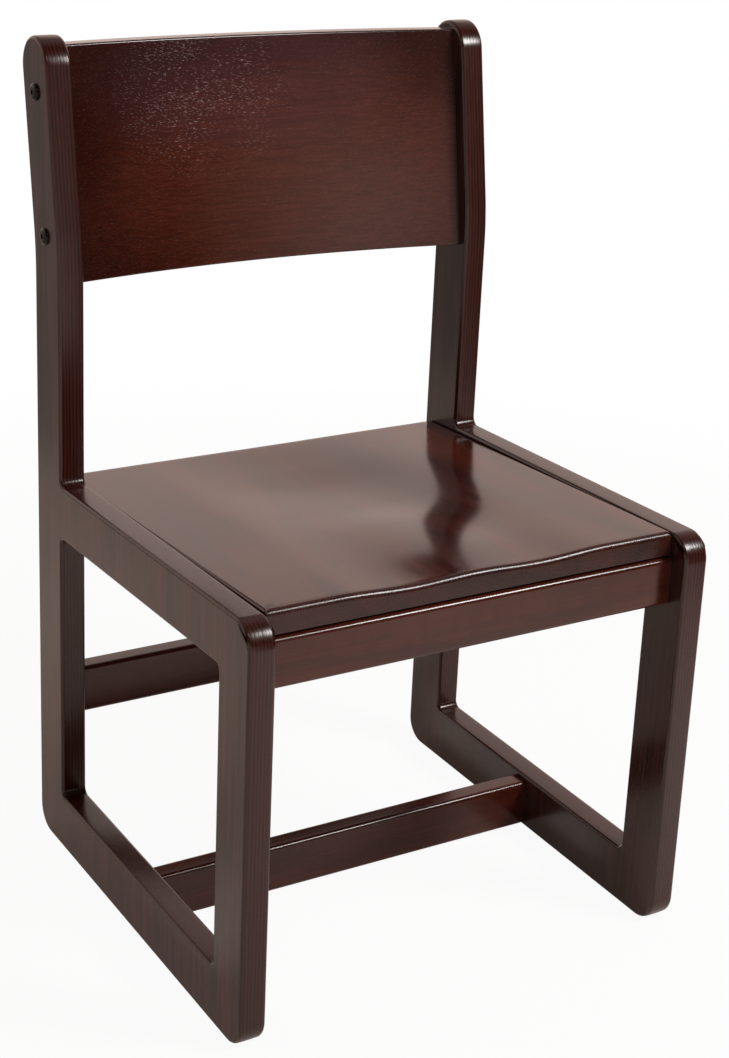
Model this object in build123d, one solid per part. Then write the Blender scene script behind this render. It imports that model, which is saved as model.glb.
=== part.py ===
from build123d import *
import math
import os

# Wooden side chair: two plywood side frames on runners, tied by three rails, with a saddle seat and a curved
# back panel. Millimetres. The front of the chair is at -Y, +Z is up and the floor is at Z = 0. Left is at -X, as
# seen from the front. Heights are measured from the floor and depths from the middle of the runners; at the end
# all pieces are moved so that the middle of the chair's whole box lies on the Z axis.

# Side frames
frame_spread = 526.0          # over the outer faces of the two side frames
frame_thickness = 28.6        # plywood board
base_depth = 500.0            # length of a runner
runner_height = 63.5
front_leg_width = 60.5
post_width = 64.0             # rear leg and back post
rail_height = 60.0            # side rail under the seat's edge, measured upright
rail_front_top = 450.0        # rail top, carried forward to the frame's front edge
rail_fall = 2.05              # degrees, down towards the rear
post_bend_height = 681.0      # where the post turns back
post_lean = 9.0               # degrees from upright, above the bend
overall_height = 900.0
outer_corner_radius = 28.0
window_corner_radius = 8.0
post_foot_radius = 9.0        # between post and rail
bend_radius = 300.0
frame_edge_radius = 3.0

# Seat
seat_side_gap = 1.0           # to each side frame
seat_front_setback = 3.0      # behind the face of the front apron
seat_rear_setback = 8.0       # from the frame's rear edge
seat_rise = 0.3               # seat's flat margin at its front edge, above the front of the side rail
seat_fall = 3.0               # degrees, down towards the rear
seat_thickness = 25.0
seat_front_radius = 6.0       # rounding of the top edges
seat_side_radius = 3.0
seat_rear_radius = 8.0
scoop_half_width = 153.0
ridge_half_width = 160.0      # raised middle between the two scoops
scoop_steps = 20              # points across the seat
# Share of the seat's length from its front, depth of the scoops there, and how much of the ridge is left
saddle_stages = [
    (0 / 6, 12.7, 0.92),
    (1 / 6, 10.3, 1.19),
    (2 / 6, 10.4, 0.97),
    (3 / 6, 11.7, 0.47),
    (4 / 6, 10.6, 0.21),
    (5 / 6, 4.6, 0.0),
    (6 / 6, 0.2, 0.0),
]

# Back panel
panel_thickness = 23.0
panel_height = 244.5
panel_top_drop = 8.0          # along the post, from its round top to the panel's top edge
panel_setback = 17.0          # from the post's front edge to the panel's face, at the panel's ends
panel_sag = 23.0              # depth of the curve across the panel
panel_edge_tilt = 2.0         # degrees, top and bottom edges from level
panel_edge_radius = 3.0

# Rails between the side frames
apron_height = 52.0
apron_thickness = 22.0
apron_setback = 22.0          # from the frame's front edge
apron_gap = 2.8               # under the seat, at the seat's front edge
apron_edge_radius = 5.0
stretcher_height = 55.0
stretcher_thickness = 25.0
stretcher_edge_radius = 5.0
rear_stretcher_bottom = 152.5
runner_stretcher_bottom = 1.5
runner_stretcher_offset = 5.5  # its middle, behind the middle of the runners

# Dowels, two in each end of a rail
dowel_diameter = 8.0
dowel_cover = 10.6            # wood left between a dowel hole and the frame's outer face
dowel_in_rail = 22.0
dowel_spacing = 26.0
dowel_clearance = 0.1         # all round
dowel_end_room = 1.0          # glue room at each end

# Back bolts and their inserts
bolt_inset = 48.75            # from the panel's top and bottom edges
bolt_setback = 3.5            # behind the middle of the panel's thickness, at its ends
bolt_diameter = 8.0
bolt_length = 44.0            # under the head
bolt_head_diameter = 18.5
bolt_head_height = 3.8
bolt_rim_height = 0.9
bolt_crown_diameter = 8.0     # flat round the socket
bolt_dome_bulge = 0.8
bolt_socket_width = 5.0       # across flats
bolt_socket_depth = 2.4
bolt_hole_clearance = 0.3     # in the post, all round
insert_diameter = 11.0
insert_length = 18.0
insert_clearance = 0.1        # all round
insert_bore_clearance = 0.1
bolt_tip_room = 4.0           # hole beyond the insert

# Seat cleats and screws
cleat_width = 22.0
cleat_height = 20.0
cleat_front_setback = 50.0    # from the seat's front edge
cleat_rear_setback = 77.0     # from the seat's rear edge
screw_diameter = 4.0
screw_length = 35.0
screw_head_diameter = 8.0
screw_head_height = 2.6
screw_clearance = 0.1         # all round
screw_tip_room = 1.0
cleat_screw_count = 3         # into each side frame
cleat_screw_inset = 40.0      # first and last, from the cleat's ends
seat_screw_count = 2          # up into the seat, on each side
seat_screw_inset = 105.0

# Worked out from the sizes above
half_spread = frame_spread / 2
inner_face = half_spread - frame_thickness
front_edge = -base_depth / 2
rear_edge = base_depth / 2
lean_sin = math.sin(math.radians(post_lean))
lean_cos = math.cos(math.radians(post_lean))
rail_slope = math.tan(math.radians(rail_fall))
seat_slope = math.tan(math.radians(seat_fall))
post_middle = rear_edge - post_width / 2
post_length = (overall_height - post_width / 2 - post_bend_height) / lean_cos
panel_middle = post_length + post_width / 2 - panel_top_drop - panel_height / 2
panel_face = panel_setback - post_width / 2
dowel_in_frame = frame_thickness - dowel_cover - dowel_end_room
apron_middle = front_edge + apron_setback + apron_thickness / 2
apron_bottom = rail_front_top + seat_rise - seat_thickness - apron_gap - apron_height
seat_front = front_edge + apron_setback + seat_front_setback
seat_rear = rear_edge - seat_rear_setback
seat_width = 2 * (inner_face - seat_side_gap)
cleat_front = seat_front + cleat_front_setback
cleat_rear = seat_rear - cleat_rear_setback
cleat_drop = cleat_height / math.cos(math.radians(seat_fall))

# Rails by node name: middle, from front to rear; bottom; height; thickness; rounding of the long edges
stretcher_size = (stretcher_height, stretcher_thickness, stretcher_edge_radius)
rails = {
    "front_apron": (apron_middle, apron_bottom, apron_height, apron_thickness, apron_edge_radius),
    "runner_stretcher": (runner_stretcher_offset, runner_stretcher_bottom, *stretcher_size),
    "rear_stretcher": (post_middle, rear_stretcher_bottom, *stretcher_size),
}


def on_post(along, across=0.0):
    """(y, z) of a point above the bend: along the post from its bend, and across it towards the rear."""
    return (
        post_middle + along * lean_sin + across * lean_cos,
        post_bend_height + along * lean_cos - across * lean_sin,
    )


def rail_top(y):
    return rail_front_top - rail_slope * (y - front_edge)


def seat_margin(y):
    return rail_front_top + seat_rise - seat_slope * (y - seat_front)


def cleat_top(y):
    return seat_margin(y) - seat_thickness


def bolt_places():
    """(y, z) of the lower and upper bolt, through the post into the panel's ends."""
    reach = panel_height / 2 - bolt_inset
    across = panel_face + panel_thickness / 2 + bolt_setback
    return [on_post(panel_middle + side * reach, across) for side in (-1, 1)]


def dowel_places(y, bottom, height):
    middle = bottom + height / 2
    return [(y, middle + side * dowel_spacing / 2) for side in (-1, 1)]


def spread(count, first, last):
    """Places of count pieces, evenly spaced."""
    return [first + (last - first) * i / (count - 1) for i in range(count)]


def cleat_screw_places():
    along = spread(cleat_screw_count, cleat_front + cleat_screw_inset, cleat_rear - cleat_screw_inset)
    return [(y, cleat_top(y) - cleat_drop / 2) for y in along]


def bar_along_x(start, end, radius, y, z):
    """A round bar or hole from x = start to x = end."""
    low, high = sorted((start, end))
    turn = Location((low, y, z), (0, 90, 0))
    return turn * Cylinder(radius, high - low, align=(Align.CENTER, Align.CENTER, Align.MIN))


def round_corner(face, place, radius):
    """Round the corner of a flat face that lies at a place."""
    corner = min(face.vertices(), key=lambda v: (v.center() - Vector(*place)).length)
    return fillet(corner, radius)


def frame_outline():
    """Side frame seen from the side, drawn in the YZ plane, with its window and rounded corners."""
    half = post_width / 2
    window_front = front_edge + front_leg_width
    window_rear = rear_edge - post_width
    bend_shift = half * math.tan(math.radians(post_lean / 2))
    bend_rear = (rear_edge, post_bend_height - bend_shift)
    bend_front = (window_rear, post_bend_height + bend_shift)
    front_top = (front_edge, rail_top(front_edge))
    post_foot = (window_rear, rail_top(window_rear))
    corners = [
        (front_edge, 0),
        (rear_edge, 0),
        bend_rear,
        on_post(post_length, half),
        on_post(post_length, -half),
        bend_front,
        post_foot,
        front_top,
    ]
    window = [
        (window_front, runner_height),
        (window_rear, runner_height),
        (window_rear, rail_top(window_rear) - rail_height),
        (window_front, rail_top(window_front) - rail_height),
    ]
    face = make_face(Polyline(*corners, close=True)) + Pos(*on_post(post_length)) * Circle(half)
    for place in [(front_edge, 0), (rear_edge, 0), front_top]:
        face = round_corner(face, place, outer_corner_radius)
    for place in [bend_rear, bend_front]:
        face = round_corner(face, place, bend_radius)
    face = round_corner(face, post_foot, post_foot_radius)
    opening = make_face(Polyline(*window, close=True))
    opening = fillet(opening.vertices(), window_corner_radius)
    return face - opening


def right_frame():
    board = extrude(Plane.YZ * frame_outline(), amount=frame_thickness, dir=(1, 0, 0))
    board = Pos(inner_face, 0, 0) * board
    sides = board.faces().sort_by(Axis.X)
    board = fillet(sides[0].edges() + sides[-1].edges(), frame_edge_radius)
    for y, z in bolt_places():
        board -= bar_along_x(inner_face, half_spread, bolt_diameter / 2 + bolt_hole_clearance, y, z)
    for middle, bottom, height, _, _ in rails.values():
        for y, z in dowel_places(middle, bottom, height):
            depth = dowel_in_frame + dowel_end_room
            board -= bar_along_x(inner_face, inner_face + depth, dowel_diameter / 2 + dowel_clearance, y, z)
    for y, z in cleat_screw_places():
        depth = screw_length - cleat_width + screw_tip_room
        board -= bar_along_x(inner_face, inner_face + depth, screw_diameter / 2 + screw_clearance, y, z)
    return board


def scoop(x, depth, ridge):
    """How far the seat is hollowed at x: a dish, less a ridge along its middle."""
    dish = math.cos(math.pi * x / (2 * scoop_half_width)) ** 2 if abs(x) < scoop_half_width else 0.0
    crest = math.cos(math.pi * x / (2 * ridge_half_width)) ** 2 if abs(x) < ridge_half_width else 0.0
    return depth * dish * (1 - ridge * crest)


def seat_section(y, depth, ridge):
    """The seat cut across at y: a level underside and a hollowed top."""
    half = seat_width / 2
    top = seat_margin(y)
    across = spread(scoop_steps + 1, -half, half)
    crown = Spline(*[(x, top - scoop(x, depth, ridge)) for x in across])
    under = Polyline((half, top), (half, top - seat_thickness), (-half, top - seat_thickness), (-half, top))
    return Plane((0, y, 0), x_dir=(1, 0, 0), z_dir=(0, -1, 0)) * make_face([crown, under])


def seat():
    """Saddle seat: two scoops at the front that run into one dish towards the rear."""
    length = seat_rear - seat_front
    stages = [(seat_front + share * length, depth, ridge) for share, depth, ridge in saddle_stages]
    body = loft([seat_section(*stage) for stage in stages])
    for edge_of_crown, radius in ((0, seat_front_radius), (-1, seat_rear_radius)):
        crown = body.faces().sort_by(SortBy.AREA)[-2:].sort_by(Axis.Z)[-1]
        body = fillet(crown.edges().sort_by(Axis.Y)[edge_of_crown], radius)
    crown = body.faces().sort_by(SortBy.AREA)[-2:].sort_by(Axis.Z)[-1]
    sides = crown.edges().sort_by(Axis.X)
    return fillet([sides[0], sides[-1]], seat_side_radius)


def back_panel():
    """Curved panel, level across, leaning with the posts and cut to length between them."""
    radius = (inner_face ** 2 + panel_sag ** 2) / (2 * panel_sag)
    bulge = panel_sag + panel_thickness
    band = Pos(0, panel_face + panel_sag - radius) * (Circle(radius + panel_thickness) - Circle(radius))
    strip = band & Pos(0, panel_face) * Rectangle(2 * inner_face, 4 * bulge)
    y, z = on_post(panel_middle)
    leaning = Plane((0, y, z), x_dir=(1, 0, 0), z_dir=(0, lean_sin, lean_cos))
    blank = extrude(leaning * strip, amount=panel_height / 2 + bulge, dir=leaning.z_dir, both=True)
    level_cut = Location((0, y, z), (-panel_edge_tilt, 0, 0))
    panel = blank & level_cut * Box(frame_spread, 4 * (bulge + post_width), panel_height * lean_cos)
    rims = panel.faces().sort_by(Axis.Z)
    long_edges = [e for f in (rims[0], rims[-1]) for e in f.edges() if e.length > inner_face]
    panel = fillet(long_edges, panel_edge_radius)
    for side in (-1, 1):
        for y, z in bolt_places():
            end = side * inner_face
            depth = insert_length + insert_clearance
            panel -= bar_along_x(end, end - side * depth, insert_diameter / 2 + insert_clearance, y, z)
            depth = bolt_length - frame_thickness + bolt_tip_room
            panel -= bar_along_x(end, end - side * depth, bolt_diameter / 2 + insert_bore_clearance, y, z)
    return panel


def rail(middle, bottom, height, thickness, edge_radius):
    """Rail between the side frames, its long edges rounded, with dowel holes in its ends."""
    section = fillet(Rectangle(thickness, height).vertices(), edge_radius)
    place = Plane((-inner_face, middle, bottom + height / 2), x_dir=(0, 1, 0), z_dir=(1, 0, 0))
    bar = extrude(place * section, amount=2 * inner_face, dir=(1, 0, 0))
    for side in (-1, 1):
        end = side * inner_face
        for y, z in dowel_places(middle, bottom, height):
            depth = dowel_in_rail + dowel_end_room
            bar -= bar_along_x(end, end - side * depth, dowel_diameter / 2 + dowel_clearance, y, z)
    return bar


def dowel_pair(side, middle, bottom, height):
    """The two dowels in one end of a rail."""
    outer = side * (inner_face + dowel_in_frame)
    inner = side * (inner_face - dowel_in_rail)
    places = dowel_places(middle, bottom, height)
    return [bar_along_x(inner, outer, dowel_diameter / 2, y, z) for y, z in places]


def back_bolt(side, y, z):
    """Domed bolt with a flat rim and a hexagon socket, through the post from outside."""
    radius = bolt_head_diameter / 2
    rim = (radius, bolt_rim_height)
    crown = (bolt_crown_diameter / 2, bolt_head_height)
    shank = bolt_diameter / 2
    profile = [
        Polyline((0, -bolt_length), (shank, -bolt_length), (shank, 0), (radius, 0), rim),
        SagittaArc(rim, crown, -bolt_dome_bulge),
        Polyline(crown, (0, bolt_head_height), (0, -bolt_length)),
    ]
    body = revolve(Plane.XZ * make_face(profile), Axis.Z)
    hexagon = RegularPolygon(bolt_socket_width / 2, 6, major_radius=False)
    body -= extrude(Pos(0, 0, bolt_head_height - bolt_socket_depth) * hexagon, amount=bolt_socket_depth)
    return Location((side * half_spread, y, z), (0, side * 90, 0)) * body


def insert(side, y, z):
    """Threaded insert in the end of the back panel."""
    end = side * inner_face
    sleeve = bar_along_x(end, end - side * insert_length, insert_diameter / 2, y, z)
    bore = bar_along_x(end, end - side * insert_length, bolt_diameter / 2 + insert_bore_clearance, y, z)
    return sleeve - bore


def screw_solid(clearance=0.0, tip_room=0.0):
    """Countersunk screw along -Z with its flat head at Z = 0; the same shape, enlarged, is its hole."""
    head = screw_head_diameter / 2 + clearance
    shank = screw_diameter / 2 + clearance
    tip = -screw_length - tip_room
    profile = Polyline((0, 0), (head, 0), (shank, -screw_head_height), (shank, tip), (0, tip), close=True)
    return revolve(Plane.XZ * make_face(profile), Axis.Z)


def cleat_screws(side, clearance=0.0, tip_room=0.0):
    """Screws through the cleat into the side frame."""
    face = side * (inner_face - cleat_width)
    turn = (0, -side * 90, 0)
    return [Location((face, y, z), turn) * screw_solid(clearance, tip_room) for y, z in cleat_screw_places()]


def seat_screws(side, clearance=0.0, tip_room=0.0):
    """Screws up through the cleat into the seat, square to the cleat."""
    x = side * (inner_face - cleat_width / 2)
    turn = (180 - seat_fall, 0, 0)
    along = spread(seat_screw_count, cleat_front + seat_screw_inset, cleat_rear - seat_screw_inset)
    places = [Location((x, y, cleat_top(y) - cleat_drop), turn) for y in along]
    return [place * screw_solid(clearance, tip_room) for place in places]


def cleat(side):
    """Strip under the seat's edge, on the inner face of a side frame."""
    profile = make_face(Polyline(
        (cleat_front, cleat_top(cleat_front)),
        (cleat_rear, cleat_top(cleat_rear)),
        (cleat_rear, cleat_top(cleat_rear) - cleat_drop),
        (cleat_front, cleat_top(cleat_front) - cleat_drop),
        close=True,
    ))
    strip = Pos(side * inner_face, 0, 0) * extrude(Plane.YZ * profile, amount=cleat_width, dir=(-side, 0, 0))
    for holes in (cleat_screws, seat_screws):
        for hole in holes(side, screw_clearance, screw_tip_room):
            strip -= hole
    return strip


def seat_with_holes():
    body = seat()
    for side in (-1, 1):
        for hole in seat_screws(side, screw_clearance, screw_tip_room):
            body -= hole
    return body


nodes = {"right_side_frame": [right_frame()]}
nodes["left_side_frame"] = [mirror(nodes["right_side_frame"][0], about=Plane.YZ)]
nodes["seat"] = [seat_with_holes()]
nodes["back_panel"] = [back_panel()]
for name, sizes in rails.items():
    nodes[name] = [rail(*sizes)]
for word, side in (("left", -1), ("right", 1)):
    for name, (middle, bottom, height, _, _) in rails.items():
        nodes[f"{name}_{word}_dowels"] = dowel_pair(side, middle, bottom, height)
    for level, (y, z) in zip(("lower", "upper"), bolt_places()):
        nodes[f"{word}_{level}_back_bolt"] = [back_bolt(side, y, z)]
        nodes[f"{word}_{level}_panel_insert"] = [insert(side, y, z)]
    nodes[f"{word}_seat_cleat"] = [cleat(side)]
    nodes[f"{word}_cleat_screws"] = cleat_screws(side)
    nodes[f"{word}_seat_screws"] = seat_screws(side)

boxes = [piece.bounding_box() for pieces in nodes.values() for piece in pieces]
box_middle = (min(box.min.Y for box in boxes) + max(box.max.Y for box in boxes)) / 2
print(f"middle of the whole box is {box_middle:.3f} mm behind the middle of the runners")

os.makedirs("parts", exist_ok=True)
for name, pieces in nodes.items():
    solids = [Pos(0, -box_middle, 0) * solid for piece in pieces for solid in piece.solids()]
    shape = solids[0] if len(solids) == 1 else Compound(children=solids)
    export_step(shape, f"parts/{name}.step")
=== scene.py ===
import math

import bmesh
import bpy
from mathutils import Matrix, Vector


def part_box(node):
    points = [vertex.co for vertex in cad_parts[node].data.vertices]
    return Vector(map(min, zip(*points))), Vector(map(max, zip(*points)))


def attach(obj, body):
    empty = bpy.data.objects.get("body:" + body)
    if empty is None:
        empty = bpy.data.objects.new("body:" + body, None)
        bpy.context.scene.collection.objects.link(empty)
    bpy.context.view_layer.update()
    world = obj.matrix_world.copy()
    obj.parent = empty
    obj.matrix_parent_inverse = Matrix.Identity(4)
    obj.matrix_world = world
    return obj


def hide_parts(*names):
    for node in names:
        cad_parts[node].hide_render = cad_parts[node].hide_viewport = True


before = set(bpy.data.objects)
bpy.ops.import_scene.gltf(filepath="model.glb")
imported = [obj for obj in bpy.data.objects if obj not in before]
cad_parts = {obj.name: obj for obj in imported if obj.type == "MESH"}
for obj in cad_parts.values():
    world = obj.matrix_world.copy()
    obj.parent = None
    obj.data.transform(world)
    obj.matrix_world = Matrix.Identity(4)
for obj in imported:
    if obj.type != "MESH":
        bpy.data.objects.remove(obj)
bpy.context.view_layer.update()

# Wooden side chair in dark stained wood. Metres, in the solids' own frame: front of the chair at -Y, floor at
# Z = 0, left at -X as seen from the front.

# Side frames
board_low, board_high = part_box("right_side_frame")
inner_face, outer_face = board_low.x, board_high.x
board_thickness = outer_face - inner_face
front_edge = board_low.y
overall_height = board_high.z
base_depth = 0.500
rear_edge = front_edge + base_depth
runner_height = 0.0635
front_leg_width = 0.0605
post_width = 0.064
rail_height = 0.060
rail_front_top = 0.450
rail_slope = math.tan(math.radians(2.05))
post_bend_height = 0.681
post_lean = math.radians(9.0)
outer_corner_radius = 0.028
window_corner_radius = 0.008
post_foot_radius = 0.009
bend_radius = 0.300
board_edge_radius = 0.003
board_edge_crown = 0.0006     # the sanded edge is this much lower beside both faces
crown_power = 4               # higher keeps more of the edge flat
ply_count = 15

# Seat
seat_low, seat_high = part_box("seat")
seat_half = seat_high.x
seat_front, seat_rear = seat_low.y, seat_high.y
seat_thickness = 0.025
seat_slope = math.tan(math.radians(3.0))
seat_front_height = 0.4503
seat_flat_margin = 0.012
seat_front_radius = 0.006
seat_side_radius = 0.003
seat_rear_radius = 0.008
scoop_half_width = 0.153
ridge_half_width = 0.160
# At even steps from the seat's front to its rear: depth of the scoops, and how much of the ridge is left
saddle_stages = [
    (0.0127, 0.92),
    (0.0103, 1.19),
    (0.0104, 0.97),
    (0.0117, 0.47),
    (0.0106, 0.21),
    (0.0046, 0.0),
    (0.0002, 0.0),
]

# Back panel
panel_thickness = 0.023
panel_height = 0.2445
panel_top_drop = 0.008
panel_setback = 0.017
panel_sag = 0.023
panel_edge_tilt = math.radians(2.0)
panel_edge_radius = 0.002

# Rails between the side frames
rail_nodes = ("front_apron", "runner_stretcher", "rear_stretcher")
rail_edge_radius = 0.005

# Back bolts
bolt_head_radius = 0.00925
bolt_head_height = 0.0038
bolt_rim_height = 0.0009
bolt_crown_radius = 0.004
bolt_socket_width = 0.005
bolt_socket_depth = 0.0024
bolt_socket_inset = 0.0005
bolt_shank_radius = 0.004
bolt_length = 0.044
bolt_nodes = [f"{side}_{level}_back_bolt" for side in ("left", "right") for level in ("lower", "upper")]
bolt_pattern_node = "right_lower_back_bolt"

# Fineness of the meshes
outer_corner_steps = 12
post_top_steps = 16
small_corner_steps = 8        # window corners, post foot and bend
board_edge_steps = 4
crown_cuts = 7                # across the board's edge
seat_cells = 100              # each way
seat_edge_steps = 5
panel_steps = 64              # across the panel
panel_edge_steps = 4
rail_edge_steps = 6
bolt_sides = 48
bolt_dome_steps = 6
round_angle = 50              # degrees; faces that meet at less than this look round
bolt_round_angle = 35
sharp_angle = 60              # degrees; board edges that turn more than this are rounded
merge_distance = 1e-6
same_place = 1e-5
dot_size = 0.001              # a plane that is merged to the first point of a loop

# Worked out from the sizes above
post_middle = rear_edge - post_width / 2
post_length = (overall_height - post_width / 2 - post_bend_height) / math.cos(post_lean)
panel_middle = post_length + post_width / 2 - panel_top_drop - panel_height / 2
panel_face = panel_setback - post_width / 2
up_post = Vector((0, math.sin(post_lean), math.cos(post_lean)))
behind_post = Vector((0, math.cos(post_lean), -math.sin(post_lean)))


def on_post(along, across=0.0, x=0.0):
    """A point above the post's bend: along the post from its bend, and across it towards the rear."""
    return Vector((x, post_middle, post_bend_height)) + along * up_post + across * behind_post


def rail_top(y):
    return rail_front_top - rail_slope * (y - front_edge)


def seat_margin(y):
    return seat_front_height - seat_slope * (y - seat_front)


def node_middle(node):
    low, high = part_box(node)
    return (low + high) / 2


# Modelling


def new_mesh(add, place, stretch=(1, 1, 1), **settings):
    """Add a primitive with nothing else selected, go into its edit mode and stretch it to size."""
    bpy.ops.object.select_all(action="DESELECT")
    add(location=place, **settings)
    bpy.ops.object.transform_apply(location=True, rotation=True, scale=True)
    bpy.ops.object.mode_set(mode="EDIT")
    bpy.ops.mesh.select_mode(type="VERT")
    bpy.ops.mesh.select_all(action="SELECT")
    bpy.ops.transform.resize(value=stretch, center_override=place)
    return bpy.context.edit_object


def pick(kind, test):
    """In edit mode, select only the vertices, edges or faces that pass a test."""
    bpy.ops.mesh.select_mode(type=kind)
    bpy.ops.mesh.select_all(action="DESELECT")
    mesh = bmesh.from_edit_mesh(bpy.context.edit_object.data)
    for item in {"VERT": mesh.verts, "EDGE": mesh.edges, "FACE": mesh.faces}[kind]:
        if test(item):
            item.select_set(True)
    mesh.select_flush_mode()
    bmesh.update_edit_mesh(bpy.context.edit_object.data)


def near(*places):
    return lambda vertex: any((vertex.co - Vector(place)).length < same_place for place in places)


def draw_loop(corners):
    """Merge what is selected to the first corner, and extrude a closed loop from corner to corner."""
    bpy.ops.mesh.merge(type="CENTER")
    for here, there in zip(corners, corners[1:]):
        bpy.ops.mesh.extrude_vertices_move(TRANSFORM_OT_translate={"value": there - here})
    pick("VERT", near(corners[0], corners[-1]))
    bpy.ops.mesh.edge_face_add()


def new_loop(corners):
    """A new piece that starts as one closed loop."""
    piece = new_mesh(bpy.ops.mesh.primitive_plane_add, corners[0], size=dot_size)
    draw_loop(corners)
    return piece


def add_loop(corners):
    """Another closed loop in the piece that is being edited."""
    bpy.ops.mesh.select_all(action="DESELECT")
    bpy.ops.mesh.primitive_plane_add(size=dot_size, location=corners[0])
    draw_loop(corners)


def round_corner(place, tangent, steps):
    """Round the corner of a loop; tangent is how far the curve reaches along both edges."""
    pick("VERT", near(place))
    bpy.ops.mesh.bevel(offset=tangent, segments=steps, affect="VERTICES", clamp_overlap=False)


def round_edges(test, radius, steps):
    pick("EDGE", test)
    bpy.ops.mesh.bevel(offset=radius, segments=steps, affect="EDGES", clamp_overlap=False)


def extrude(shift):
    bpy.ops.mesh.extrude_region_move(TRANSFORM_OT_translate={"value": shift})


def clean_up():
    """Merge doubles and turn all faces outwards."""
    bpy.ops.mesh.select_all(action="SELECT")
    bpy.ops.mesh.remove_doubles(threshold=merge_distance)
    bpy.ops.mesh.normals_make_consistent(inside=False)


def close_edit():
    clean_up()
    bpy.ops.object.mode_set(mode="OBJECT")


def use_modifier(piece, kind, **settings):
    bpy.context.view_layer.objects.active = piece
    made = piece.modifiers.new(kind.lower(), kind)
    for name, value in settings.items():
        setattr(made, name, value)
    bpy.ops.object.modifier_apply(modifier=made.name)


def smooth(piece, angle=round_angle):
    """Smooth shading over the roundings, with the flat faces kept flat."""
    bpy.ops.object.select_all(action="DESELECT")
    piece.select_set(True)
    bpy.context.view_layer.objects.active = piece
    bpy.ops.object.shade_smooth_by_angle(angle=math.radians(angle))
    use_modifier(piece, "WEIGHTED_NORMAL", weight=100, keep_sharp=True)


def settle(piece, name, *nodes, slot):
    """Name a finished piece, and let it stand for its CAD nodes."""
    piece.name = piece.data.name = name
    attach(piece, "root")
    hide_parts(*nodes)
    return piece


def copy_piece(piece, shift=(0, 0, 0), half_turn=False):
    """A copy with its own mesh, turned half round the Z axis or not, and then moved."""
    twin = piece.copy()
    twin.data = piece.data.copy()
    bpy.context.scene.collection.objects.link(twin)
    turn = Matrix.Rotation(math.pi, 4, "Z") if half_turn else Matrix.Identity(4)
    twin.data.transform(Matrix.Translation(shift) @ turn)
    return twin


def crown_edges(middle_x, reach, drop):
    """Dome the cut edge of a board that is being edited: its outline steps in towards both faces."""
    def place(vertex):
        return round(vertex.co.y, 6), round(vertex.co.z, 6)

    pick("EDGE", lambda edge: abs(edge.verts[0].co.x - edge.verts[1].co.x) > reach)
    bpy.ops.mesh.subdivide(number_cuts=crown_cuts)
    mesh = bmesh.from_edit_mesh(bpy.context.edit_object.data)
    mesh.normal_update()
    outwards = {place(v): v.normal.copy() for v in mesh.verts if abs(v.co.x - middle_x) < reach / 100}
    for vertex in mesh.verts:
        off_middle = (vertex.co.x - middle_x) / reach
        vertex.co -= outwards[place(vertex)] * drop * off_middle ** crown_power
    bmesh.update_edit_mesh(bpy.context.edit_object.data)


def side_frame():
    """One board: runner, front leg, side rail, rear leg and leaning post, cut round a window."""
    half = post_width / 2
    window_front = front_edge + front_leg_width
    window_rear = rear_edge - post_width
    bend_shift = half * math.tan(post_lean / 2)
    x = inner_face

    foot_front = Vector((x, front_edge, 0))
    foot_rear = Vector((x, rear_edge, 0))
    bend_rear = Vector((x, rear_edge, post_bend_height - bend_shift))
    top_rear = on_post(post_length + half, half, x)
    top_front = on_post(post_length + half, -half, x)
    bend_front = Vector((x, window_rear, post_bend_height + bend_shift))
    post_foot = Vector((x, window_rear, rail_top(window_rear)))
    rail_nose = Vector((x, front_edge, rail_front_top))
    outline = [foot_front, foot_rear, bend_rear, top_rear, top_front, bend_front, post_foot, rail_nose]
    window = [
        Vector((x, window_front, runner_height)),
        Vector((x, window_rear, runner_height)),
        Vector((x, window_rear, rail_top(window_rear) - rail_height)),
        Vector((x, window_front, rail_top(window_front) - rail_height)),
    ]

    piece = new_loop(outline)
    add_loop(window)
    for corner in (foot_front, foot_rear, rail_nose):
        round_corner(corner, outer_corner_radius, outer_corner_steps)
    for corner in (top_front, top_rear):
        round_corner(corner, half, post_top_steps)
    for corner in (bend_front, bend_rear):
        round_corner(corner, bend_radius * math.tan(post_lean / 2), small_corner_steps)
    round_corner(post_foot, post_foot_radius, small_corner_steps)
    for corner in window:
        round_corner(corner, window_corner_radius, small_corner_steps)

    bpy.ops.mesh.select_all(action="SELECT")
    bpy.ops.mesh.remove_doubles(threshold=merge_distance)
    bpy.ops.mesh.fill()
    bpy.ops.mesh.select_all(action="SELECT")
    extrude((board_thickness, 0, 0))
    clean_up()
    crown_edges(inner_face + board_thickness / 2, board_thickness / 2, board_edge_crown)
    close_edit()
    use_modifier(piece, "BEVEL", width=board_edge_radius, segments=board_edge_steps, limit_method="ANGLE",
                 angle_limit=math.radians(sharp_angle), use_clamp_overlap=False)
    smooth(piece)
    return piece


def stage_at(share):
    """Scoop depth and the ridge's part of it, smoothly between the saddle's stages."""
    values = [(depth, depth * ridge) for depth, ridge in saddle_stages]
    last = len(values) - 1
    place = share * last
    i = min(int(place), last - 1)
    t = place - i
    before, here, there, after = (values[min(max(i + k, 0), last)] for k in (-1, 0, 1, 2))
    blend = []
    for a, b, c, d in zip(before, here, there, after):
        slope_b, slope_c = (c - a) / 2, (d - b) / 2
        blend.append(b + slope_b * t + (3 * (c - b) - 2 * slope_b - slope_c) * t ** 2
                     + (2 * (b - c) + slope_b + slope_c) * t ** 3)
    return blend


def wave(x, half_width):
    return math.cos(math.pi * x / (2 * half_width)) ** 2 if abs(x) < half_width else 0.0


def seat_top(x, y):
    """Height of the saddle seat: two scoops at the front that run into one dish."""
    depth, ridge = stage_at((y - seat_front) / (seat_rear - seat_front))
    return seat_margin(y) - wave(x, scoop_half_width) * (depth - ridge * wave(x, ridge_half_width))


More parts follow.
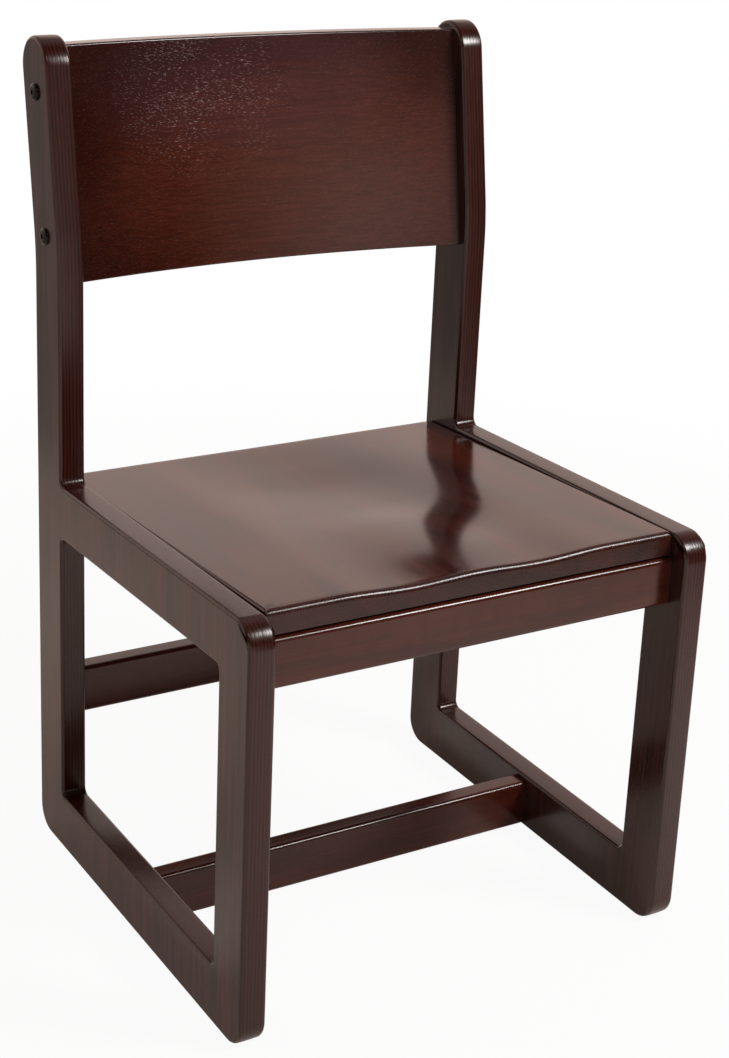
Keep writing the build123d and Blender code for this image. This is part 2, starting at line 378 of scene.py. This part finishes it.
def saddle_seat():
    """A fine grid hollowed to the saddle, with a plain margin, sides and underside."""
    middle = Vector((0, (seat_front + seat_rear) / 2, 0))
    half_length = (seat_rear - seat_front) / 2
    inner = Vector((seat_half - seat_flat_margin, half_length - seat_flat_margin, 1))
    piece = new_mesh(bpy.ops.mesh.primitive_grid_add, middle, inner, x_subdivisions=seat_cells,
                     y_subdivisions=seat_cells, size=2)
    pick("EDGE", lambda edge: edge.is_boundary)
    extrude((0, 0, 0))
    bpy.ops.transform.resize(value=(seat_half / inner.x, half_length / inner.y, 1), center_override=middle)
    bpy.ops.mesh.select_all(action="SELECT")
    lift = 1.0
    extrude((0, 0, lift))

    def underside(y):
        return seat_margin(y) - seat_thickness

    mesh = bmesh.from_edit_mesh(piece.data)
    for vertex in mesh.verts:
        x, y, z = vertex.co
        vertex.co.z = seat_top(x, y) if z > lift / 2 else underside(y)
    bmesh.update_edit_mesh(piece.data)

    def along_top(side, is_on_side):
        """A test for the top edges of one side of the seat."""
        def test(edge):
            ends = [vertex.co for vertex in edge.verts]
            on_top = all(end.z - underside(end.y) > same_place for end in ends)
            return on_top and all(abs(is_on_side(end) - side) < same_place for end in ends)
        return test

    round_edges(along_top(seat_front, lambda end: end.y), seat_front_radius, seat_edge_steps)
    round_edges(along_top(seat_rear, lambda end: end.y), seat_rear_radius, seat_edge_steps)
    round_edges(along_top(seat_half, lambda end: abs(end.x)), seat_side_radius, seat_edge_steps)
    close_edit()
    smooth(piece)
    return piece


def back_panel():
    """A rectangle spun about an axis in front of it, cut to length, its long edges levelled and rounded."""
    radius = (inner_face ** 2 + panel_sag ** 2) / (2 * panel_sag)
    reach = panel_height / 2
    face = panel_face + panel_sag
    hub = on_post(panel_middle, face - radius)
    half_angle = math.asin((inner_face + panel_thickness) / radius)
    start = Matrix.Rotation(-half_angle, 3, up_post)
    section = [hub + start @ (on_post(panel_middle + along, across) - hub) for along, across in (
        (-reach, face), (reach, face), (reach, face + panel_thickness), (-reach, face + panel_thickness))]

    piece = new_loop(section)
    bpy.ops.mesh.select_all(action="SELECT")
    bpy.ops.mesh.spin(steps=panel_steps, angle=-2 * half_angle, center=hub, axis=up_post)
    for side in (-1, 1):
        bpy.ops.mesh.select_all(action="SELECT")
        bpy.ops.mesh.bisect(plane_co=(side * inner_face, 0, 0), plane_no=(side, 0, 0), clear_outer=True,
                            use_fill=True)

    level = Vector((0, math.sin(panel_edge_tilt), math.cos(panel_edge_tilt)))
    middle = on_post(panel_middle)
    half_height = panel_height * math.cos(post_lean) / 2
    mesh = bmesh.from_edit_mesh(piece.data)
    for vertex in mesh.verts:
        rim = math.copysign(half_height, (vertex.co - middle).dot(up_post))
        vertex.co += up_post * (rim - (vertex.co - middle).dot(level)) / up_post.dot(level)
    bmesh.update_edit_mesh(piece.data)
    clean_up()

    def on_rim(edge):
        flat = [abs(face.normal.dot(level)) > 0.9 for face in edge.link_faces]
        inside = min(abs(vertex.co.x) for vertex in edge.verts) < inner_face - same_place
        return inside and sorted(flat) == [False, True]

    round_edges(on_rim, panel_edge_radius, panel_edge_steps)
    close_edit()
    smooth(piece)
    return piece


def cross_rail(node):
    """A bar the size of its CAD node, with its four long edges rounded."""
    low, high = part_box(node)
    piece = new_mesh(bpy.ops.mesh.primitive_cube_add, node_middle(node), high - low, size=1)
    round_edges(lambda edge: abs(edge.verts[0].co.x - edge.verts[1].co.x) > same_place, rail_edge_radius,
                rail_edge_steps)
    close_edit()
    smooth(piece)
    return piece


def domed_bolt(node):
    """Domed bolt of the right post: flat rim, dome, hexagon socket, and a plain shank in the wood."""
    middle = node_middle(node)
    seat_face = Vector((outer_face, middle.y, middle.z))
    piece = new_mesh(bpy.ops.mesh.primitive_circle_add, seat_face, vertices=bolt_sides,
                     radius=bolt_head_radius, fill_type="NGON", rotation=(0, math.pi / 2, 0))

    def pick_top():
        top = max(vertex.co.x for vertex in bmesh.from_edit_mesh(piece.data).verts)
        pick("FACE", lambda face: all(vertex.co.x > top - merge_distance for vertex in face.verts))

    def raise_ring(height, radius, before):
        pick_top()
        extrude((height, 0, 0))
        bpy.ops.transform.resize(value=(1, radius / before, radius / before), center_override=seat_face)

    radius, height = bolt_head_radius, bolt_rim_height
    raise_ring(height, radius, radius)
    for i in range(1, bolt_dome_steps + 1):
        angle = math.pi / 2 * i / bolt_dome_steps
        next_radius = bolt_crown_radius + (bolt_head_radius - bolt_crown_radius) * math.cos(angle)
        next_height = bolt_rim_height + (bolt_head_height - bolt_rim_height) * math.sin(angle)
        raise_ring(next_height - height, next_radius, radius)
        radius, height = next_radius, next_height

    pick_top()
    bpy.ops.mesh.inset(thickness=bolt_socket_inset)
    mesh = bmesh.from_edit_mesh(piece.data)
    for vertex in {v for f in mesh.faces if f.select for v in f.verts}:
        y, z = vertex.co.y - middle.y, vertex.co.z - middle.z
        turn = math.atan2(z, y) % (math.pi / 3) - math.pi / 6
        reach = bolt_socket_width / 2 / math.cos(turn) / math.hypot(y, z)
        vertex.co.y, vertex.co.z = middle.y + y * reach, middle.z + z * reach
    bmesh.update_edit_mesh(piece.data)
    extrude((-bolt_socket_depth, 0, 0))

    pick("FACE", lambda face: all(abs(vertex.co.x - outer_face) < merge_distance for vertex in face.verts))
    bpy.ops.mesh.inset(thickness=bolt_head_radius - bolt_shank_radius)
    extrude((-bolt_length, 0, 0))
    close_edit()
    smooth(piece, bolt_round_angle)
    return piece


# Finishes


class Amount:
    """A number that varies over a surface: a shader socket for use in Python sums."""

    def __init__(self, nodes, socket):
        self.nodes, self.socket = nodes, socket

    def combine(self, operation, *values):
        sockets = {str(i): value for i, value in enumerate(values)}
        return self.nodes.amount("Math", {"operation": operation}, **sockets)

    def __add__(self, other):
        return self.combine("ADD", self, other)

    def __sub__(self, other):
        return self.combine("SUBTRACT", self, other)

    def __rsub__(self, other):
        return self.combine("SUBTRACT", other, self)

    def __mul__(self, other):
        return self.combine("MULTIPLY", self, other)

    def __truediv__(self, other):
        return self.combine("DIVIDE", self, other)

    def __abs__(self):
        return self.combine("ABSOLUTE", self)

    def swing(self):
        """Up from 0 to 1 and down again, over and over."""
        return self.combine("PINGPONG", self, 1.0)

    __radd__ = __add__
    __rmul__ = __mul__


class Nodes:
    """A node tree that starts empty, and short ways to add nodes to it."""

    def __init__(self, tree):
        self.tree = tree
        tree.nodes.clear()

    def node(self, kind, settings=None, **sockets):
        """Any node: its settings first, then its sockets' values or links, by identifier, name or number."""
        made = self.tree.nodes.new("ShaderNode" + kind)
        for name, value in (settings or {}).items():
            setattr(made, name, value)
        for name, value in sockets.items():
            socket = self.find(made.inputs, name)
            if isinstance(value, Amount):
                value = value.socket
            if isinstance(value, bpy.types.NodeSocket):
                self.tree.links.new(value, socket)
            else:
                socket.default_value = value
        return made

    @staticmethod
    def find(sockets, name):
        if name.isdigit():
            return sockets[int(name)]
        plain = name.replace("_", " ")
        return next(s for s in sockets if s.identifier in (name, plain) or s.name == plain)

    def amount(self, kind, settings=None, **sockets):
        return Amount(self, self.node(kind, settings, **sockets).outputs[0])

    def axes(self, coordinates="Object"):
        """Coordinates as three amounts."""
        split = self.node("SeparateXYZ", Vector=self.node("TexCoord").outputs[coordinates])
        return [Amount(self, socket) for socket in split.outputs]

    def rays(self, *kinds):
        """For each kind of ray: 1 where it is being traced, else 0."""
        outputs = self.node("LightPath").outputs
        return [Amount(self, outputs[f"Is {kind} Ray"]) for kind in kinds]

    def noise(self, scale, shift=(0, 0, 0), detail=2.0, roughness=0.5, distortion=0.0):
        """Noise on Object coordinates, in cycles per metre along the three axes."""
        coordinates = self.node("TexCoord").outputs["Object"]
        stretched = self.node("Mapping", Vector=coordinates, Location=shift, Scale=scale).outputs["Vector"]
        return self.amount("TexNoise", Vector=stretched, Scale=1.0, Detail=detail, Roughness=roughness,
                           Distortion=distortion)

    def ramp(self, value, low, high, to_low=0.0, to_high=1.0):
        """A smooth step of a value from low to high."""
        return self.amount("MapRange", {"interpolation_type": "SMOOTHSTEP"}, Value=value, From_Min=low,
                           From_Max=high, To_Min=to_low, To_Max=to_high)

    def fade(self, value, low, high):
        """The same downwards: 1 below low, and 0 above high."""
        return self.ramp(value, low, high, 1.0, 0.0)

    def mix(self, share, first, second):
        made = self.node("Mix", {"data_type": "RGBA"}, Factor_Float=share, A_Color=first, B_Color=second)
        return self.find(made.outputs, "Result_Color")

    def bump(self, height, strength, distance):
        return self.node("Bump", Height=height, Strength=strength, Distance=distance).outputs["Normal"]


class Finish(Nodes):
    """A material, and the nodes that make it."""

    def __init__(self, name):
        self.material = bpy.data.materials.new(name)
        self.material.use_nodes = True
        super().__init__(self.material.node_tree)

    def surface(self, **sockets):
        shader = self.node("BsdfPrincipled", **sockets)
        self.node("OutputMaterial", Surface=shader.outputs[0])
        return self.material


def colour(red, green, blue):
    """A colour written as 0 to 255 screen values, as the shader's linear light."""
    def linear(value):
        value /= 255
        return value / 12.92 if value <= 0.04045 else ((value + 0.055) / 1.055) ** 2.4
    return (linear(red), linear(green), linear(blue), 1.0)


def grain_scale(axis, along, across):
    """Stretch a pattern along one axis: cycles per metre along the grain and across it."""
    return tuple(along if i == axis else across for i in range(3))


def square(amount):
    return amount * amount


along_x, along_y, along_z = 0, 1, 2      # which way the grain runs


def stained_wood(name, axis, dark, light, roughness, end_grain=None):
    """Stained and lacquered hardwood: broad figure, fine streaks, mottling and short pores along the grain.

    end_grain is the Y of a front edge that shows darker end grain under speckled lacquer.
    """
    finish = Finish(name)
    figure = finish.noise(grain_scale(axis, along=3, across=22), detail=3, distortion=0.6)
    streaks = finish.noise(grain_scale(axis, along=9, across=420), detail=3, roughness=0.6)
    mottle = finish.noise(grain_scale(axis, along=75, across=50), detail=2)
    pores = finish.noise(grain_scale(axis, along=160, across=1500), detail=1)
    pore = finish.ramp(pores, 0.64, 0.76)

    base = finish.mix(finish.ramp(figure * 0.7 + streaks * 0.3, 0.37, 0.63), dark, light)
    base = finish.mix(finish.ramp(mottle, 0.4, 0.65) * 0.3, base, dark)
    base = finish.mix(pore * 0.25, base, colour(22, 8, 5))
    relief = streaks * 0.3 - pore * 0.7
    gloss_spread = 0.03
    gloss = finish.ramp(streaks, 0.3, 0.7, roughness - gloss_spread, roughness + gloss_spread)
    if end_grain is not None:
        _, y, _ = finish.axes()
        edge = finish.fade(y, end_grain + 0.003, end_grain + 0.009)
        speckle = finish.noise((420, 700, 700), detail=2)
        base = finish.mix(edge * 0.5, base, colour(34, 15, 12))
        relief = relief + speckle * edge * 5
        gloss = gloss + edge * 0.1
    lacquer = finish.bump(relief, strength=1.0, distance=0.000016)
    return finish.surface(Base_Color=base, Normal=lacquer, Roughness=gloss)


def panel_veneer(name):
    """Back panel: cloudy veneer, darker towards its edges, with painted sheen at its top and middle, and
    painted glints on pores near its top.
    """
    finish = Finish(name)
    x, _, z = finish.axes()

    def spot(middle_x, middle_z, half_width, half_height):
        """Falls from 1 at a place on the panel to 0 round it."""
        across, up = (x - middle_x) / half_width, (z - middle_z) / half_height
        return finish.fade(square(across) + square(up), 0.0, 1.0)

    # lighter towards the middle and darker towards the edges
    lighter_middle = spot(0.04, 0.735, 0.32, 0.18)
    painted_top_sheen = spot(-0.02, 0.85, 0.22, 0.1)
    painted_low_sheen = spot(0.06, 0.705, 0.19, 0.12)
    # where pores are painted as glints
    glint_area = spot(-0.07, 0.838, 0.12, 0.105)
    clouds = finish.noise((7, 7, 9), detail=3, distortion=0.8)
    patches = finish.ramp(finish.noise((16, 16, 30), detail=2), 0.3, 0.6)
    streaks = finish.noise(grain_scale(along_x, along=5, across=130), detail=4, roughness=0.65)
    fine_grain = finish.noise(grain_scale(along_x, along=14, across=420), detail=3, roughness=0.65)
    open_grain = finish.noise(grain_scale(along_x, along=210, across=1400), shift=(3, 7, 5), detail=1)
    glinting_pores = finish.ramp(open_grain, 0.62, 0.7) * (glint_area * patches + 0.1)

    glow = lighter_middle * 0.7 + clouds * 0.35 + streaks * 0.3
    base = finish.mix(finish.ramp(glow, 0.25, 1.15), colour(46, 12, 4), colour(86, 38, 26))
    base = finish.mix(finish.ramp(fine_grain, 0.35, 0.65) * 0.4, base, colour(34, 9, 4))
    # painted sheen: a purple-grey reflection painted near the top middle
    base = finish.mix(painted_top_sheen * 0.11, base, colour(112, 88, 98))
    # painted sheen: a grey-brown reflection painted low in the middle
    base = finish.mix(painted_low_sheen * 0.13, base, colour(112, 90, 80))
    # painted glints: pores near the top painted pale, as if they caught the light
    base = finish.mix(glinting_pores * 0.65, base, colour(170, 148, 150))
    pitted = finish.bump(fine_grain * 0.3 - glinting_pores * 0.5, strength=0.08, distance=0.0002)
    return finish.surface(Base_Color=base, Normal=pitted, Roughness=finish.ramp(clouds, 0.3, 0.7, 0.14, 0.18))


def plywood_board(name):
    """Side frame: stained face veneer with upright grain, and the plies showing on every edge."""
    finish = Finish(name)
    x, _, _ = finish.axes()
    depth = (abs(x) - inner_face) / board_thickness
    skin = finish.ramp(abs(depth - 0.5), 0.455, 0.485)
    cut = 1 - skin

    figure = finish.noise(grain_scale(along_z, along=3, across=26), detail=3, distortion=0.5)
    streaks = finish.noise(grain_scale(along_z, along=7, across=250), detail=4, roughness=0.65)
    grain = finish.ramp(figure * 0.35 + streaks * 0.65, 0.4, 0.6)
    face = finish.mix(grain, colour(31, 12, 8), colour(76, 41, 32))
    # painted shade: the boards' inner faces darker, as they lie in shade
    painted_inner_shade = finish.ramp(depth, 0.4, 0.6, 0.45, 0.0)
    face = finish.mix(painted_inner_shade, face, colour(24, 10, 7))

    wobble = finish.noise((0, 14, 14), detail=1)
    uneven = finish.noise((130, 5, 5), detail=1)
    band = depth * ply_count + wobble * 0.5 + uneven * 1.6
    layer = finish.ramp(band.swing(), 0.08, 0.6)
    scuffs = finish.noise((500, 90, 90), detail=2)
    edge_streaks = finish.ramp(finish.noise((60, 60, 60), detail=3), 0.4, 0.7)
    plies = finish.mix(layer, colour(33, 11, 7), colour(62, 25, 18))
    plies = finish.mix(edge_streaks * 0.3, plies, colour(48, 17, 11))

    gloss = finish.ramp(streaks, 0.3, 0.7, 0.17, 0.22) + cut * 0.04
    relief = (layer * 0.4 + scuffs) * cut + streaks * skin * 0.5
    sanded = finish.bump(relief, strength=0.2, distance=0.0002)
    return finish.surface(Base_Color=finish.mix(skin, plies, face), Roughness=gloss, Normal=sanded)


def dark_metal(name):
    """Dark plated steel with a little wear."""
    finish = Finish(name)
    wear = finish.ramp(finish.noise((900, 900, 900), detail=3), 0.5, 0.75)
    base = finish.mix(wear, colour(30, 26, 25), colour(58, 51, 47))
    return finish.surface(Base_Color=base, Metallic=0.7, Roughness=wear * 0.15 + 0.22)


def plain_metal(name, dark, light):
    """Bare or plated metal, drawn along its length."""
    finish = Finish(name)
    drawn = finish.noise(grain_scale(along_x, along=80, across=900), detail=2)
    base = finish.mix(drawn, dark, light)
    return finish.surface(Base_Color=base, Metallic=1.0, Roughness=drawn * 0.2 + 0.25)


def dress(piece, finish):
    piece.data.materials.clear()
    piece.data.materials.append(finish)


# Pieces

right_frame = side_frame()
left_frame = copy_piece(right_frame, shift=(-inner_face - outer_face, 0, 0))
settle(right_frame, "right_frame_board", "right_side_frame", slot="frame_plywood")
settle(left_frame, "left_frame_board", "left_side_frame", slot="frame_plywood")
seat = settle(saddle_seat(), "saddle_seat", "seat", slot="seat_wood")
panel = settle(back_panel(), "curved_back_panel", "back_panel", slot="panel_wood")
rails = [settle(cross_rail(node), f"{node}_bar", node, slot="rail_wood") for node in rail_nodes]

bolt_pattern = domed_bolt(bolt_pattern_node)
pattern_middle = node_middle(bolt_pattern_node)
bolts = []
for node in bolt_nodes:
    on_left = node.startswith("left")
    start = Vector((-pattern_middle.x, -pattern_middle.y, pattern_middle.z)) if on_left else pattern_middle
    bolt = copy_piece(bolt_pattern, node_middle(node) - start, half_turn=on_left)
    bolts.append(settle(bolt, f"{node}_head", node, slot="bolt_black"))
bpy.data.objects.remove(bolt_pattern)

board_finish = plywood_board("stained plywood board")
seat_finish = stained_wood("stained seat wood", along_y, colour(44, 10, 5), colour(79, 29, 18), 0.16,
                           end_grain=seat_front)
panel_finish = panel_veneer("stained panel veneer")
rail_finish = stained_wood("stained rail wood", along_x, colour(56, 18, 10), colour(81, 33, 22), 0.18)
cleat_finish = stained_wood("stained cleat wood", along_y, colour(60, 36, 28), colour(84, 54, 44), 0.45)
dowel_finish = stained_wood("plain dowel wood", along_x, colour(190, 150, 105), colour(212, 176, 130), 0.5)
bolt_finish = dark_metal("dark bolt metal")
insert_finish = plain_metal("insert brass", colour(150, 112, 55), colour(196, 160, 92))
screw_finish = plain_metal("plated screw steel", colour(140, 140, 142), colour(190, 190, 192))

for pieces, finish in (((left_frame, right_frame), board_finish), ((seat,), seat_finish),
                       ((panel,), panel_finish), (rails, rail_finish), (bolts, bolt_finish)):
    for piece in pieces:
        dress(piece, finish)

# CAD nodes, by the end of their names
node_finishes = {"_dowels": dowel_finish, "_panel_insert": insert_finish, "_seat_cleat": cleat_finish,
                 "_screws": screw_finish, "_side_frame": board_finish, "seat": seat_finish,
                 "panel": panel_finish, "_apron": rail_finish, "_stretcher": rail_finish,
                 "_bolt": bolt_finish}
for name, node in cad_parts.items():
    dress(node, next(finish for ending, finish in node_finishes.items() if name.endswith(ending)))

# Camera, at the photograph's place
image_width, image_height = 729, 1058
sensor_width = 36
focal_length = 2073.52        # in pixels of that image
principal_point = (392.37, 449.57)
camera_place = (-1.0555, -1.7574, 1.2195)
camera_azimuth = math.radians(-32.019)
camera_elevation = math.radians(19.437)
camera_roll = math.radians(2.808)

# Studio: a roll of white paper that faces the camera, on a darker floor
white = (1, 1, 1, 1)
paper_width, paper_length, paper_front = 2.72, 11.6, 1.6
paper_colour = (0.9, 0.87, 0.85, 1)
paper_shine = (1, 0.76, 0.65, 1)         # as the lacquer mirrors it, a glow painted on the paper
pool_shine = (1, 0.92, 0.86, 1)          # the same, in a pool of light painted where the main softbox lights the paper most
pool_x, pool_y = 0.5, -0.65

floor = new_mesh(bpy.ops.mesh.primitive_plane_add, (0, 0, 0), (paper_width, paper_length, 1), size=1)
bpy.ops.transform.translate(value=(0, paper_length / 2 - paper_front, 0))
close_edit()
floor.data.transform(Matrix.Rotation(camera_azimuth, 4, "Z"))
floor.name = "studio_floor"

floor_finish = Finish("pale studio floor")
camera_ray, glossy_ray, clear_ray = floor_finish.rays("Camera", "Glossy", "Transmission")
x, y, _ = floor_finish.axes()
from_chair = square(x) + square(y)
# a painted pool of light on the paper, seen only in the lacquer's reflections
pool = floor_finish.fade(square(x - pool_x) + square(y - pool_y), 0.02, 0.3)
shine = floor_finish.mix(pool, paper_shine, pool_shine)
shine = floor_finish.mix(camera_ray, shine, white)
white_share = floor_finish.ramp(from_chair, 0.2, 4.0, 0.94, 1.0)
# painted shade: in the reflections the paper glows less near the chair, as if shaded by it
gloss_share = floor_finish.ramp(from_chair, 0.01, 0.5, 0.16, 0.48) + pool * 0.5
seen = (camera_ray + clear_ray) * white_share + glossy_ray * gloss_share
lit = floor_finish.node("BsdfDiffuse", Color=paper_colour)
bright = floor_finish.node("Emission", Color=shine, Strength=1.0)
blend = floor_finish.node("MixShader", **{"0": seen, "1": lit.outputs[0], "2": bright.outputs[0]})
floor_finish.node("OutputMaterial", Surface=blend.outputs[0])
dress(floor, floor_finish.material)

# The room that the lacquer mirrors: a pale backdrop behind the chair, and a dim front with a low glow in it
backdrop_light = (1.05, 0.83, 0.75, 1)
backdrop_top = (0.4, 0.32, 0.29, 1)
studio_floor = (0.34, 0.285, 0.255, 1)
dim_front = (0.02, 0.017, 0.015, 1)
dim_front_floor = (0.08, 0.068, 0.062, 1)
low_glow = (0.75, 0.66, 0.62, 1)

world = bpy.data.worlds.new("studio")
bpy.context.scene.world = world
world.use_nodes = True
room = Nodes(world.node_tree)
across, depth, upwards = room.axes("Generated")
behind = room.ramp(depth, -0.2, 0.35)
high = room.ramp(upwards, 0.42, 0.75)
below = room.fade(upwards, -0.06, 0.0)
glow = room.fade(across, 0.3, 0.53) * room.fade(upwards, 0.03, 0.16)
front = room.mix(glow, room.mix(below, dim_front, dim_front_floor), low_glow)
backdrop = room.mix(below, room.mix(high, backdrop_light, backdrop_top), studio_floor)
camera_ray, clear_ray = room.rays("Camera", "Transmission")
light = room.mix(camera_ray + clear_ray, room.mix(behind, front, backdrop), white)
room.node("OutputWorld", Surface=room.node("Background", Color=light, Strength=1.0).outputs[0])


def softbox(name, place, width, power):
    """A square lamp aimed at the chair's middle."""
    lamp = bpy.data.lights.new(name, "AREA")
    lamp.shape = "RECTANGLE"
    lamp.size = lamp.size_y = width
    lamp.energy = power
    lamp.color = (1.0, 0.98, 0.95)
    holder = bpy.data.objects.new(name, lamp)
    bpy.context.scene.collection.objects.link(holder)
    holder.location = place
    aim = Vector((0, 0, 0.5))
    holder.rotation_euler = (aim - Vector(place)).to_track_quat("-Z", "Y").to_euler()


softbox("main softbox", (1.4, -1.65, 2.2), width=0.75, power=54)
softbox("fill softbox", (-0.75, -1.75, 2.55), width=0.4, power=5)

camera = bpy.data.objects.new("camera", bpy.data.cameras.new("camera"))
bpy.context.scene.collection.objects.link(camera)
bpy.context.scene.camera = camera
camera.data.sensor_width = sensor_width
camera.data.lens = sensor_width * focal_length / image_height
camera.data.shift_x = (image_width / 2 - principal_point[0]) / image_height
camera.data.shift_y = (principal_point[1] - image_height / 2) / image_height
turn = (Matrix.Rotation(camera_azimuth, 4, "Z") @ Matrix.Rotation(math.pi / 2 - camera_elevation, 4, "X")
        @ Matrix.Rotation(camera_roll, 4, "Z"))
camera.matrix_world = Matrix.Translation(camera_place) @ turn

bpy.context.scene.view_settings.view_transform = "Standard"
